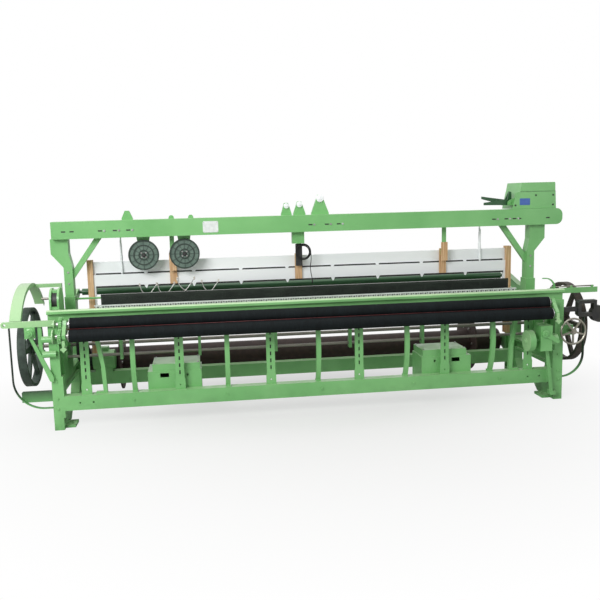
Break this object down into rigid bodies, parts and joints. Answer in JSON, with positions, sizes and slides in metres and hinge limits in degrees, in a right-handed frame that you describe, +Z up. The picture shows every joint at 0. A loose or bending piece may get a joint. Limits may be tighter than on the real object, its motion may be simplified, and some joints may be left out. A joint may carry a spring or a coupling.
{
  "type": "power loom",
  "caption": "Wide weaving loom with cast side frames, an overhead shedding portal, front take-up rollers, a sley with rapier track, and a warp beam.",
  "frame": {"origin": "middle of the four floor bolts, on the floor", "axes": "+X along the machine's width, +Y from the weaver's side to the warp side, +Z up"},
  "size_m": [5.296, 1.7724, 1.974],
  "materials": {
    "green_paint": "gloss",
    "pale_green_paint": "gloss",
    "dark_green_paint": "satin",
    "black_paint": "satin",
    "brown_paint": "satin",
    "roller_rubber": "matte",
    "belt_rubber": "matte",
    "bright_steel": "satin",
    "dark_steel": "satin",
    "frame_aluminium": "satin",
    "grey_casting": "matte",
    "flywheel_casting": "matte",
    "beech": "matte"
  },
  "bodies": {
    "frame": {"arch_braces": "green_paint", "arch_posts": "green_paint", "back_rest_brackets": "green_paint", "beam_bearings": "green_paint", "beam_brackets": "green_paint", "bent_stays": "green_paint", "breast_beam": "green_paint", "cable_coil": "belt_rubber", "dobby_cover": "green_paint", "dobby_housing": "green_paint", "drive_belt": "belt_rubber", "drive_motor": "green_paint", "end_rails": "green_paint", "front_girt": "green_paint", "gear_boxes": "green_paint", "guide_arms": "green_paint", "handwheel_bearing": "green_paint", "heald_guides": "beech", "left_gear_cover": "green_paint", "left_guide_bar": "bright_steel", "left_side_frame": "green_paint", "left_wheel_guard": "pale_green_paint", "rear_girt": "green_paint", "right_guide_bar": "green_paint", "right_side_frame": "green_paint", "right_tape_guide": "black_paint", "roller_brackets": "green_paint", "roller_support_arms": "green_paint", "shaft_housings": "green_paint", "slotted_uprights": "green_paint", "take_up_pulley_bracket": "green_paint", "top_beam": "green_paint", "weft_fingers": "dark_steel", "wooden_slats": "beech"},
    "main_shaft_set": {"main_shaft": "bright_steel", "left_drive_wheel": "grey_casting", "right_flywheel": "flywheel_casting", "driven_pulley": "grey_casting"},
    "motor_rotor": {"motor_pulley": "grey_casting"},
    "lower_roller_set": {"lower_roller": "roller_rubber", "lower_roller_shaft": "bright_steel", "lower_roller_gear": "green_paint"},
    "upper_roller_set": {"upper_roller": "roller_rubber", "upper_roller_shaft": "bright_steel", "upper_roller_gear": "green_paint"},
    "handwheel_set": {"handwheel": "bright_steel"},
    "take_up_wheel": {"take_up_pulley": "green_paint"},
    "sley": {"rocking_shaft": "bright_steel", "sley_swords": "green_paint", "race_board": "dark_green_paint", "rapier_track": "bright_steel", "reed": "dark_steel"},
    "front_heald": {"front_heald_frame": "frame_aluminium"},
    "rear_heald": {"rear_heald_frame": "frame_aluminium"},
    "front_lever": {"front_dobby_lever": "green_paint"},
    "rear_lever": {"rear_dobby_lever": "green_paint"},
    "sheave_one": {"first_sheave": "grey_casting"},
    "sheave_two": {"second_sheave": "grey_casting"},
    "warp_beam_set": {"warp_beam": "brown_paint"},
    "back_rest": {"back_rest_roller": "dark_green_paint"}
  },
  "joints": [
    {"name": "main_shaft_turn", "type": "hinge", "parent": "frame", "child": "main_shaft_set", "pos_m": [0, -0.07, 0.635], "axis": [1, 0, 0], "continuous": true},
    {"name": "motor_turn", "type": "hinge", "parent": "frame", "child": "motor_rotor", "pos_m": [-2.07, 0.34, 0.4], "axis": [1, 0, 0], "continuous": true},
    {"name": "lower_roller_turn", "type": "hinge", "parent": "frame", "child": "lower_roller_set", "pos_m": [0, -0.713, 0.829], "axis": [1, 0, 0], "continuous": true},
    {"name": "upper_roller_turn", "type": "hinge", "parent": "frame", "child": "upper_roller_set", "pos_m": [0, -0.644, 0.916], "axis": [1, 0, 0], "continuous": true},
    {"name": "handwheel_turn", "type": "hinge", "parent": "frame", "child": "handwheel_set", "pos_m": [2.33, -0.58, 0.63], "axis": [0, 1, 0], "continuous": true},
    {"name": "take_up_wheel_turn", "type": "hinge", "parent": "frame", "child": "take_up_wheel", "pos_m": [1.892, -0.626, 0.576], "axis": [1, 0, 0], "continuous": true},
    {"name": "sley_swing", "type": "hinge", "parent": "frame", "child": "sley", "pos_m": [0, -0.25, 0.565], "axis": [1, 0, 0], "range_deg": [-6, 9]},
    {"name": "front_heald_lift", "type": "slide", "parent": "frame", "child": "front_heald", "axis": [0, 0, 1], "range_m": [0, 0.115]},
    {"name": "rear_heald_lift", "type": "slide", "parent": "frame", "child": "rear_heald", "axis": [0, 0, 1], "range_m": [-0.115, 0]},
    {"name": "front_lever_rock", "type": "hinge", "parent": "frame", "child": "front_lever", "pos_m": [1.94, -0.033, 1.79], "axis": [0, 1, 0], "range_deg": [0, 13.19]},
    {"name": "rear_lever_rock", "type": "hinge", "parent": "frame", "child": "rear_lever", "pos_m": [1.94, 0.027, 1.79], "axis": [0, 1, 0], "range_deg": [-13.19, 0]},
    {"name": "first_sheave_turn", "type": "hinge", "parent": "frame", "child": "sheave_one", "pos_m": [-1.48, -0.0634, 1.415], "axis": [0, 1, 0], "continuous": true},
    {"name": "second_sheave_turn", "type": "hinge", "parent": "frame", "child": "sheave_two", "pos_m": [-1.12, -0.0634, 1.415], "axis": [0, 1, 0], "continuous": true},
    {"name": "warp_beam_turn", "type": "hinge", "parent": "frame", "child": "warp_beam_set", "pos_m": [0, 0.7, 0.32], "axis": [1, 0, 0], "continuous": true},
    {"name": "back_rest_turn", "type": "hinge", "parent": "frame", "child": "back_rest", "pos_m": [0, 0.65, 1.02], "axis": [1, 0, 0], "continuous": true}
  ],
  "couplings": [
    {"joint": "motor_turn", "follows": "main_shaft_turn", "ratio": 2.7273},
    {"joint": "upper_roller_turn", "follows": "lower_roller_turn", "ratio": -1},
    {"joint": "front_lever_rock", "follows": "front_heald_lift", "rad_per_m": 2},
    {"joint": "rear_lever_rock", "follows": "rear_heald_lift", "rad_per_m": 2}
  ]
}
